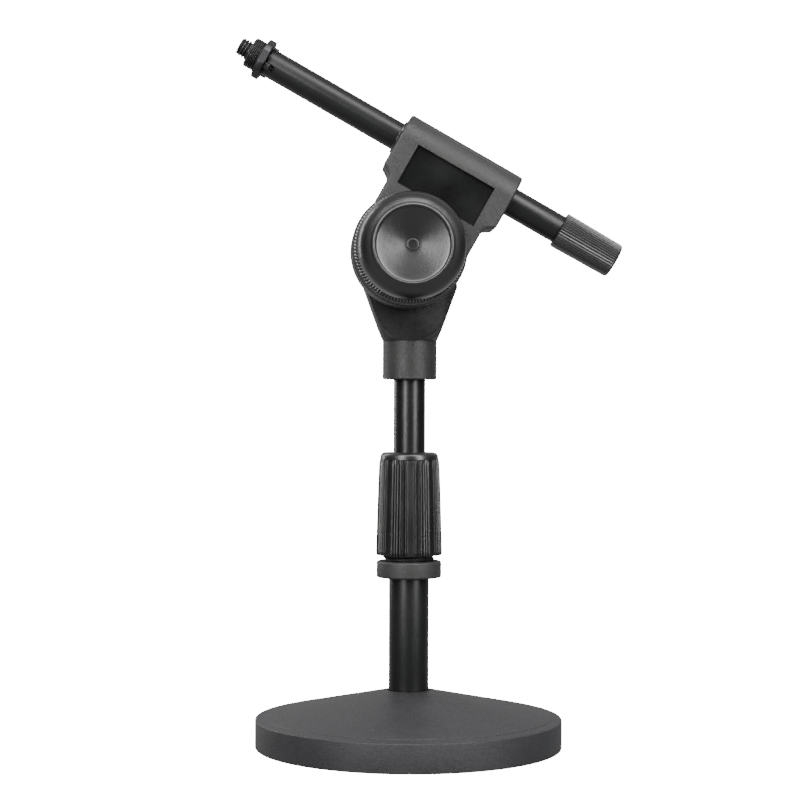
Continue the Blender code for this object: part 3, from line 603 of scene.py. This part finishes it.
def make_grip(material):
    low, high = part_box("clutch_grip")
    foot = high.x + 0.3 * MM
    shoulder_height = 145.2 * MM - low.z
    neck = 15.1 * MM
    smooth = 14.65 * MM
    rib_depth = 1.0 * MM
    around = 576
    turn = math.radians(-90)
    rows = []
    levels = 44
    for k in range(levels + 1):
        height = shoulder_height * k / levels
        outer = grip_radius(height, foot, neck, shoulder_height)
        end_fade = min(1.0, height / (0.3 * MM))
        point = 1 + 2.5 * max(0.0, 1 - (shoulder_height - height) / (1.8 * MM))
        row = []
        for i in range(around):
            angle = math.tau * i / around
            depth = rib_depth * (1 - rib_wave(angle - turn) ** point)
            corner = (1 - end_fade) * 0.3 * MM
            radius = outer - depth - corner
            row.append((radius * math.cos(angle), radius * math.sin(angle), low.z + height))
        rows.append(row)

    top = rounded([
        (smooth + 0.1 * MM, low.z + shoulder_height + 0.15 * MM, 0),
        (smooth, high.z, 2.4 * MM),
        (8.35 * MM, high.z, 0.4 * MM),
        (8.35 * MM, high.z - 6 * MM, 0),
        (13.5 * MM, high.z - 12 * MM, 0),
        (13.9 * MM, low.z, 0.4 * MM),
    ], steps=5)
    rows.extend(ring_of(r, z, around) for r, z in top)
    grip = wrapped("ribbed_grip", rows, STAND_FRAME, [material], sharp=50, closed=True)
    place(grip, "grip", ["clutch_grip"])


# ---------------------------------------------------------------- yoke

YOKE_FLARE = math.radians(19.9)


def yoke_ring(height, socket_radius, socket_top, spread=1.0, count=192):
    rise = max(0.0, height - socket_top)
    half_width = (socket_radius + rise * math.tan(YOKE_FLARE)) * spread
    squareness = 2 + 12 * min(1.0, rise / (10 * MM))
    ring = []
    for i in range(count):
        angle = math.tau * i / count
        cosine = math.cos(angle)
        sine = math.sin(angle)
        x = math.copysign(abs(cosine) ** (2 / squareness), cosine) * half_width
        y = math.copysign(abs(sine) ** (2 / squareness), sine) * socket_radius
        ring.append((x, y, height))
    return ring


def make_yoke(textured, smooth):
    low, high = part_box("tilt_yoke")
    back = high.y
    socket_radius = 13.65 * MM
    socket_top = 205.0 * MM
    bore_top = 212.0 * MM
    fan_top = 232.0 * MM
    grub_height = 196.0 * MM
    head_radius = high.z - PIVOT.z
    recess = 15.8 * MM / 2
    recess_floor = 7.65 * MM
    cores = 6
    core_inner = 12.0 * MM
    core_outer = 21.5 * MM
    core_depth = 3.5 * MM
    heights = [low.z, low.z + 0.5 * MM, socket_top - 1.5 * MM, socket_top]
    steps = 30
    for i in range(1, steps + 1):
        heights.append(socket_top + (fan_top - socket_top) * (i / steps) ** 1.3)
    rows = [yoke_ring(h, socket_radius, socket_top) for h in heights]
    rows[0] = [(x * 0.965, y * 0.965, z) for x, y, z in rows[0]]
    rows.append(yoke_ring(PIVOT.z, socket_radius, socket_top, 0.7))
    bm = bmesh.new()
    rings = [[bm.verts.new(point) for point in row] for row in rows]
    for lower, upper in zip(rings, rings[1:]):
        for i in range(len(lower)):
            j = (i + 1) % len(lower)
            bm.faces.new((lower[i], lower[j], upper[j], upper[i]))
    bm.faces.new(rings[0])
    bm.faces.new(rings[-1])
    yoke = new_object("yoke_casting", bm, STAND_FRAME, [textured, smooth])

    front = 13.4 * MM
    head = turned("yoke_head", rounded([
        (0, -back, 0), (head_radius, -back, 1.4 * MM), (head_radius, front, 0), (0, front, 0),
    ], steps=4), KNOB_FRAME, [textured], around=160)
    combine(yoke, "UNION", head)

    face = 12.8 * MM
    face_centre = 222.3 * MM - PIVOT.z
    face_radius = 17.6 * MM
    lean = math.radians(24)
    lower_arc = arc((0, face_centre), face_radius, math.pi + lean, math.tau - lean, 48)
    top = head_radius + 5 * MM
    side = lower_arc[-1][0] + (top - lower_arc[-1][1]) * math.tan(lean)
    on_mast = axes_at(Vector((0, 0, PIVOT.z)), FORWARD, UP)
    combine(yoke, "DIFFERENCE",
            extruded("yoke_face", lower_arc + [(side, top), (-side, top)], face, 2 * face,
                     on_mast))

    combine(yoke, "DIFFERENCE",
            extruded("bolt_recess", circle(recess, 6), -back - MM, -recess_floor, KNOB_FRAME))
    rib = math.radians(9)
    for i in range(cores):
        start = math.tau * i / cores + rib / 2
        end = math.tau * (i + 1) / cores - rib / 2
        wedge = arc((0, 0), core_outer, start, end, 16) + arc((0, 0), core_inner, end, start, 10)
        combine(yoke, "DIFFERENCE",
                extruded("core", wedge, -back - MM, -back + core_depth, KNOB_FRAME))
    at_grub = axes_at(Vector((0, 0, grub_height)), FORWARD, UP)
    combine(yoke, "DIFFERENCE",
            extruded("grub_hole", circle(2.8 * MM, 32), -20 * MM, -7 * MM, at_grub))
    combine(yoke, "DIFFERENCE",
            extruded("mast_bore", circle(8.3 * MM, 64), low.z - MM, bore_top, STAND_FRAME))
    soften(yoke, 0.7 * MM)
    for polygon in yoke.data.polygons:
        centre = polygon.center
        forwards = polygon.normal.y < -0.95
        if forwards and abs(centre.y + face) < 0.3 * MM and centre.z > socket_top:
            polygon.material_index = 1
    place(yoke, "mast", ["tilt_yoke"])


# ---------------------------------------------------------------- clamp

def make_clamp(textured, smooth):
    boom_offset = (BOOM_FOOT - PIVOT_ORIGIN).dot(CLAMP_UP)
    plane = -BOOM_FOOT.y
    half = 13.0 * MM
    length = 31.5 * MM
    head_radius = 28.4 * MM
    waist = 26.3 * MM
    ear_height = 29.6 * MM
    waist_height = 26.4 * MM
    top = boom_offset + half + 5 * MM
    meet = math.acos(waist / head_radius)
    head = arc((0, 0), head_radius, meet, -math.pi - meet, 120)
    right = rounded([
        (-length, top, 0),
        (length, top, 0),
        (length, ear_height, 2.0 * MM),
        (waist, waist_height, 4.5 * MM),
        (head[0][0], head[0][1], 0),
    ], steps=8)
    left = [(-x, y) for x, y in reversed(right[2:-1])]
    clamp = extruded("clamp_block", right[:-1] + head + left, plane - half, plane + half,
                     CLAMP_FRAME, [textured, smooth])
    side_view = [(half, -head_radius - 5 * MM), (-half, -head_radius - 5 * MM)]
    side_view += arc((0, boom_offset), half, math.pi, 0, 48)
    along = CLAMP_FRAME @ Matrix.Translation((0, 0, plane)) @ Matrix.Rotation(math.pi / 2, 4, "Y")
    turned_side = [(-z, y) for z, y in side_view]
    combine(clamp, "INTERSECT",
            extruded("side_view", turned_side, -40 * MM, 40 * MM, along))
    soften(clamp, 1.3 * MM, 4, clamped=False)

    combine(clamp, "DIFFERENCE",
            extruded("bore", circle(8.5 * MM, 96), -40 * MM, 40 * MM, BOOM_FRAME))
    front = plane + half
    pocket_floor = front - 1.3 * MM
    pocket_half = 21.4 * MM
    pocket_foot = 25.0 * MM
    pocket = [(-pocket_half, pocket_foot), (pocket_half, pocket_foot),
              (pocket_half, boom_offset), (-pocket_half, boom_offset)]
    combine(clamp, "DIFFERENCE",
            extruded("pocket", pocket, pocket_floor, front + MM, CLAMP_FRAME))
    slit = [(-40 * MM, -40 * MM), (40 * MM, -40 * MM), (40 * MM, boom_offset),
            (-40 * MM, boom_offset)]
    combine(clamp, "DIFFERENCE",
            extruded("slit", slit, plane - MM, plane + MM, CLAMP_FRAME))
    combine(clamp, "DIFFERENCE",
            extruded("bolt_hole", circle(4.6 * MM, 48), 0, 50 * MM, CLAMP_FRAME))
    seat = 14.0 * MM
    combine(clamp, "DIFFERENCE",
            extruded("washer_seat", circle(seat, 64), front - 1.2 * MM, front + MM, CLAMP_FRAME))
    clamp.data.shade_smooth()
    clamp.data.set_sharp_from_angle(angle=math.radians(SHARP))
    for polygon in clamp.data.polygons:
        centre = polygon.center
        inside = abs(centre.x) < pocket_half + 0.1 * MM and centre.y < boom_offset + 0.1 * MM
        on_floor = abs(centre.z - pocket_floor) < 0.05 * MM
        if inside and on_floor and math.hypot(centre.x, centre.y) > seat + MM:
            polygon.material_index = 1
    place(clamp, "clamp", ["boom_clamp"])


# ---------------------------------------------------------------- knob

TEETH = 106


def make_knurled_ring(material):
    box_low, box_high = extent("knurled_ring", KNOB_FRAME)
    low = box_low.z
    high = box_high.z
    flange = box_high.x
    face = 25.4 * MM
    tooth_depth = 0.8 * MM
    around = TEETH * 8

    def tooth(angle, r, z):
        if z < low + 3.2 * MM or r < face - 0.2 * MM or r > flange - 0.35 * MM:
            return r
        phase = angle / math.tau * TEETH % 1.0
        return r - tooth_depth * abs(2 * phase - 1)

    flare = flange - 0.5 * MM
    outline = [(11 * MM, low), (flange - 0.4 * MM, low), (flange, low + 0.4 * MM),
               (flange, low + 3.0 * MM), (flange - 0.3 * MM, low + 3.3 * MM)]
    steps = 8
    for k in range(steps + 1):
        part = k / steps
        outline.append((flare + (face - flare) * part,
                        low + 3.5 * MM + (high - low - 3.5 * MM) * part))
    outline += [(face - 0.6 * MM, high), (21.5 * MM, high), (21.5 * MM, high - MM),
                (11 * MM, high - MM)]
    ring = turned("toothed_ring", outline, KNOB_FRAME, [material], around=around,
                  sharp=30, shape=tooth)
    place(ring, "knob", ["knurled_ring"])


def smooth_profile(points, steps=6):
    """Catmull-Rom curve through (r, z) points."""
    out = []
    for i in range(len(points) - 1):
        p0 = Vector(points[max(0, i - 1)])
        p1 = Vector(points[i])
        p2 = Vector(points[i + 1])
        p3 = Vector(points[min(len(points) - 1, i + 2)])
        for k in range(steps):
            t = k / steps
            value = 0.5 * ((2 * p1) + (p2 - p0) * t + (2 * p0 - 5 * p1 + 4 * p2 - p3) * t * t
                           + (3 * p1 - p0 - 3 * p2 + p3) * t ** 3)
            out.append((max(0.0, value.x), value.y))
    out.append(tuple(points[-1]))
    return out


def make_knob(material):
    skirt = [(24.5, 48.2), (24.9, 50.5), (25.4, 54.0), (25.85, 58.0), (26.0, 60.6)]
    shoulder = [(25.5, 63.2), (24.7, 65.0), (23.6, 66.5), (22.4, 67.65), (21.2, 68.5)]
    ridge = [(20.1, 69.2), (19.4, 69.75), (18.7, 70.1), (18.1, 69.95), (17.4, 69.3)]
    dish = [(15.5, 68.7), (12.0, 67.8), (8.0, 66.8), (4.5, 65.95), (3.1, 65.7)]
    pip = [(2.75, 65.78), (2.4, 65.84), (2.0, 65.78), (1.0, 65.72), (0.0, 65.7)]
    outer = [(r * MM, z * MM) for r, z in skirt + shoulder + ridge + dish + pip]
    face = smooth_profile(outer)
    inner = [(0.0, 60 * MM), (4.5 * MM, 60 * MM), (4.5 * MM, 41 * MM), (10.4 * MM, 41 * MM),
             (10.4 * MM, 59 * MM), (21.5 * MM, 59 * MM), (21.5 * MM, 48.2 * MM)]
    knob = turned("knob_moulding", inner + face, KNOB_FRAME, [material], around=192)
    place(knob, "knob", ["knob_cap"])


# ---------------------------------------------------------------- boom

def make_liner(material):
    box_low, box_high = extent("boom_liner", BOOM_FRAME)
    low = box_low.z
    high = box_high.z
    flange = box_high.y
    outline = rounded([
        (7.3 * MM, low, 0.2 * MM),
        (flange, low, 0.25 * MM),
        (flange, low + 0.6 * MM, 0),
        (flange - 0.5 * MM, low + 0.6 * MM, 0),
        (flange - 0.5 * MM, high, 0.2 * MM),
        (7.3 * MM, high, 0.2 * MM),
    ], steps=3)
    liner = turned("liner_bush", outline, BOOM_FRAME, [material])
    place(liner, "liner", ["boom_liner"])


SLOT_TURN = math.radians(25)


def make_boom_tube(material, bare):
    upper_end = extent("boom_tube", BOOM_FRAME)[0].z
    tube = tube_piece("boom_tube_enamelled", "boom_tube", material, BOOM_FRAME, 1.2 * MM)
    tube.data.materials.append(bare)
    half = 1.8 * MM
    for i in range(2):
        end = arc((0, upper_end + 5 * MM - half), half, 0, math.pi, 16)
        outline = [(-half, upper_end - MM), (half, upper_end - MM)] + end
        turn = Matrix.Rotation(SLOT_TURN + math.pi / 2 * i, 4, "Z")
        turn = turn @ Matrix.Rotation(math.pi / 2, 4, "X")
        cutter = extruded("slot", outline, -10 * MM, 10 * MM, BOOM_FRAME @ turn, [bare])
        combine(tube, "DIFFERENCE", cutter)
    tube.data.shade_smooth()
    tube.data.set_sharp_from_angle(angle=math.radians(SHARP))
    for polygon in tube.data.polygons:
        centre = polygon.center
        across = math.hypot(centre.x, centre.y)
        wall = abs(polygon.normal.z) > 0.9 or (5.95 * MM < across < 7.0 * MM
                                               and centre.z < upper_end + 5.5 * MM)
        if wall and centre.z < upper_end + 6 * MM:
            polygon.material_index = 1
    place(tube, "boom", ["boom_tube"])


CAP_RIBS = 44


def make_end_cap(material):
    box_low, box_high = extent("boom_end_cap", BOOM_FRAME)
    low = box_low.z
    high = box_high.z
    around = CAP_RIBS * 8
    depth = 0.5 * MM
    smooth_at = math.radians(-25)

    def rib(angle, r, z):
        rounded_end = z > high - 2 * MM
        if z < low + 0.15 * MM or r < 7.9 * MM and not rounded_end:
            return r
        smooth_side = max(0.0, math.cos(angle - smooth_at)) ** 4
        fade = min(1.0, max(0.0, (r - 6.4 * MM) / (0.8 * MM)))
        phase = angle / math.tau * CAP_RIBS % 1.0
        wave = 1 - abs(2 * phase - 1) ** 1.5
        return r - depth * wave * fade * (1 - 0.95 * smooth_side)

    outline = rounded([
        (7.15 * MM, low, 0.25 * MM),
        (9.2 * MM, low, 0.35 * MM),
        (8.75 * MM, high, 1.7 * MM),
        (0, high, 0),
        (0, high - 3.4 * MM, 0),
        (7.15 * MM, high - 3.4 * MM, 0),
    ], steps=5)
    start = outline.index((0, high - 3.4 * MM))
    cap = turned("ribbed_end_cap", outline[start:] + outline[:start], BOOM_FRAME, [material],
                 around=around, sharp=40, shape=rib)
    place(cap, "boom", ["boom_end_cap"])


def make_tip():
    stud_radius = 4.76 * MM
    box_low, box_high = extent("tip_insert", BOOM_FRAME)
    shoulder = extent("thread_adapter", BOOM_FRAME)[1].z + 0.3 * MM
    stud = screw_surface("stud_thread", box_low.z, shoulder - MM, stud_radius - 0.85 * MM,
                         stud_radius, 25.4 / 16 * MM, BOOM_FRAME,
                         [worn_thread("stud_steel", stud_radius, 0.16 * MM)], vee, hand=-1)
    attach(stud, "boom")
    steel = metal("key_steel", (0.1, 0.1, 0.1), 0.35)
    plug = turned("tip_plug", [(0, shoulder), (5.6 * MM, shoulder), (5.6 * MM, box_high.z),
                               (0, box_high.z)], BOOM_FRAME, [steel])
    for i in range(2):
        outline = rounded([(-7.9 * MM, -1.5 * MM, 0.3 * MM), (7.9 * MM, -1.5 * MM, 0.3 * MM),
                           (7.9 * MM, 1.5 * MM, 0.3 * MM), (-7.9 * MM, 1.5 * MM, 0.3 * MM)],
                          steps=3)
        turn = Matrix.Rotation(SLOT_TURN + math.pi / 2 * i, 4, "Z")
        combine(plug, "UNION", extruded("key", outline, shoulder + 0.05 * MM,
                                        shoulder + 2.6 * MM, BOOM_FRAME @ turn))
    place(plug, "boom", ["tip_insert"])


def make_adapter():
    radius = 7.94 * MM
    box_low, box_high = extent("thread_adapter", BOOM_FRAME)
    tip = box_low.z
    flange_high = box_high.z
    flange_low = flange_high - 3.6 * MM
    thread = worn_thread("adapter_steel", radius, 0.14 * MM)
    bore = 4.9 * MM
    sleeve_end = flange_low + 0.2 * MM
    sleeve = screw_surface("adapter_thread", tip, sleeve_end, radius - 0.5 * MM, radius,
                           25.4 / 27 * MM, BOOM_FRAME, [thread], vee, per_turn=12, hand=-1,
                           inside=[(bore, sleeve_end), (bore, tip)])
    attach(sleeve, "boom")
    outline = rounded([
        (4.9 * MM, flange_low, 0),
        (10.3 * MM, flange_low, 0.45 * MM),
        (10.3 * MM, flange_high, 0.45 * MM),
        (4.9 * MM, flange_high, 0),
    ], steps=3)
    flange = turned("adapter_flange", outline, BOOM_FRAME,
                    [metal("flange_steel", (0.075, 0.075, 0.078), 0.45)])
    corner_radius = 9.7 * MM * 2 / math.sqrt(3)
    combine(flange, "INTERSECT",
            extruded("hexagon_bar", circle(corner_radius, 6), tip, flange_high + MM, BOOM_FRAME))
    flange.data.shade_smooth()
    flange.data.set_sharp_from_angle(angle=math.radians(30))
    place(flange, "boom", ["thread_adapter"])


# ---------------------------------------------------------------- studio

def make_floor():
    bm = bmesh.new()
    bmesh.ops.create_grid(bm, x_segments=1, y_segments=1, size=30)
    n = Nodes("studio_floor")
    n.fixed(Base_Color=(0.9, 0.9, 0.9, 1), Roughness=0.9, Emission_Color=(1, 1, 1, 1),
            Emission_Strength=20.0, Specular_IOR_Level=0.0)
    floor = new_object("studio_floor", bm, Matrix.Identity(4), [n.material])
    floor.visible_diffuse = False
    floor.visible_glossy = False


def make_world():
    """White to the camera. To the object it is dim, with a paler backdrop behind (+Y),
    ceiling and table."""
    world = bpy.data.worlds.new("studio")
    bpy.context.scene.world = world
    world.use_nodes = True
    tree = world.node_tree
    tree.nodes.clear()
    fill = tree.nodes.new("ShaderNodeBackground")
    fill.inputs["Color"].default_value = (1, 1, 1, 1)
    where = tree.nodes.new("ShaderNodeTexCoord")
    parts = tree.nodes.new("ShaderNodeSeparateXYZ")
    tree.links.new(where.outputs["Generated"], parts.inputs[0])

    def glow(axis, start, end, low, high):
        ramp = tree.nodes.new("ShaderNodeMapRange")
        ramp.interpolation_type = "SMOOTHSTEP"
        for key, value in (("From Min", start), ("From Max", end),
                           ("To Min", low), ("To Max", high)):
            ramp.inputs[key].default_value = value
        tree.links.new(parts.outputs[axis], ramp.inputs["Value"])
        return ramp.outputs[0]

    def added(first, second):
        total = tree.nodes.new("ShaderNodeMath")
        total.operation = "ADD"
        tree.links.new(first, total.inputs[0])
        tree.links.new(second, total.inputs[1])
        return total.outputs[0]

    backdrop = glow("Y", 0.2, 0.95, 0.07, 0.45)
    table = glow("Z", 0.0, -0.6, 0.0, 0.3)
    ceiling = glow("Z", 0.15, 0.6, 0.0, 0.3)
    tree.links.new(added(added(backdrop, table), ceiling), fill.inputs["Strength"])
    seen = tree.nodes.new("ShaderNodeBackground")
    seen.inputs["Color"].default_value = (1, 1, 1, 1)
    seen.inputs["Strength"].default_value = 20.0
    path = tree.nodes.new("ShaderNodeLightPath")
    mix = tree.nodes.new("ShaderNodeMixShader")
    out = tree.nodes.new("ShaderNodeOutputWorld")
    tree.links.new(path.outputs["Is Camera Ray"], mix.inputs["Fac"])
    tree.links.new(fill.outputs[0], mix.inputs[1])
    tree.links.new(seen.outputs[0], mix.inputs[2])
    tree.links.new(mix.outputs[0], out.inputs["Surface"])


def make_softbox(name, place_at, target, width, height, power):
    light = bpy.data.lights.new(name, "AREA")
    light.shape = "RECTANGLE"
    light.size = width
    light.size_y = height
    light.energy = power
    item = bpy.data.objects.new(name, light)
    bpy.context.scene.collection.objects.link(item)
    item.location = place_at
    item.rotation_euler = (Vector(target) - Vector(place_at)).to_track_quat("-Z", "Y").to_euler()


def around_object(azimuth, distance, height):
    """Point at a compass angle from the camera side: negative is to the left."""
    angle = math.radians(azimuth)
    return (distance * math.sin(angle), -distance * math.cos(angle), height)


def make_lights():
    target = (0, 0, 0.18)
    make_softbox("left_softbox", around_object(-34, 1.3, 0.72), target, 0.42, 1.4, 21)
    make_softbox("right_softbox", around_object(40, 1.3, 0.72), target, 0.5, 1.4, 20)
    make_softbox("left_strip", around_object(-128, 1.2, 0.65), target, 0.25, 1.2, 6)
    make_softbox("top_softbox", around_object(8, 0.75, 1.35), target, 0.9, 0.6, 10)


def make_camera():
    distance = 1.0
    height = 0.1753
    yaw = math.radians(3.1)
    aside = math.radians(0.275)
    camera = bpy.data.cameras.new("camera")
    camera.sensor_width = 36
    camera.lens = 88.9
    item = bpy.data.objects.new("camera", camera)
    bpy.context.scene.collection.objects.link(item)
    item.location = (-distance * math.sin(yaw), -distance * math.cos(yaw), height)
    aim = Matrix.Rotation(-(yaw - aside), 4, "Z") @ Matrix.Rotation(math.pi / 2, 4, "X")
    roll = Matrix.Rotation(math.radians(0.2), 4, "Z")
    item.rotation_euler = (aim @ roll).to_euler()
    bpy.context.scene.camera = item


# ---------------------------------------------------------------- assembly

def main():
    make_camera()
    make_world()
    make_floor()
    make_lights()

    textured = charcoal_nylon()
    smooth = smooth_nylon()
    knob = knob_plastic()
    steel = metal("zinc_plate", (0.5, 0.5, 0.5), 0.34)
    black_steel = metal("black_oxide", (0.06, 0.06, 0.062), 0.42)
    nylon = natural_nylon()
    washer_rubber = rubber()

    make_base(base_coat())
    make_mast_tubes()
    make_collar(textured)
    make_clutch_body(thread_nylon())
    make_grip(grip_nylon())
    make_yoke(textured, yoke_face_nylon())
    make_clamp(textured, smooth)
    make_knurled_ring(ring_nylon())
    make_knob(knob)
    make_liner(knob)
    make_boom_tube(enamelled("boom_enamel", (0.0065, 0.0065, 0.007), 0.37),
                   metal("cut_steel", (0.45, 0.44, 0.42), 0.35))
    make_end_cap(cap_rubber())
    make_tip()
    make_adapter()

    for name in ("base_bolt", "base_washer", "lower_tube_plug", "pivot_bolt",
                 "knob_thrust_washer"):
        paint(name, steel)
    for name in ("base_pad", "friction_washer"):
        paint(name, washer_rubber)
    for name in ("clutch_collet", "mast_guide_bush"):
        paint(name, nylon)
    paint("yoke_grub_screw", black_steel)
    paint("knob_insert", metal("turned_brass", (0.62, 0.45, 0.2), 0.34))


main()
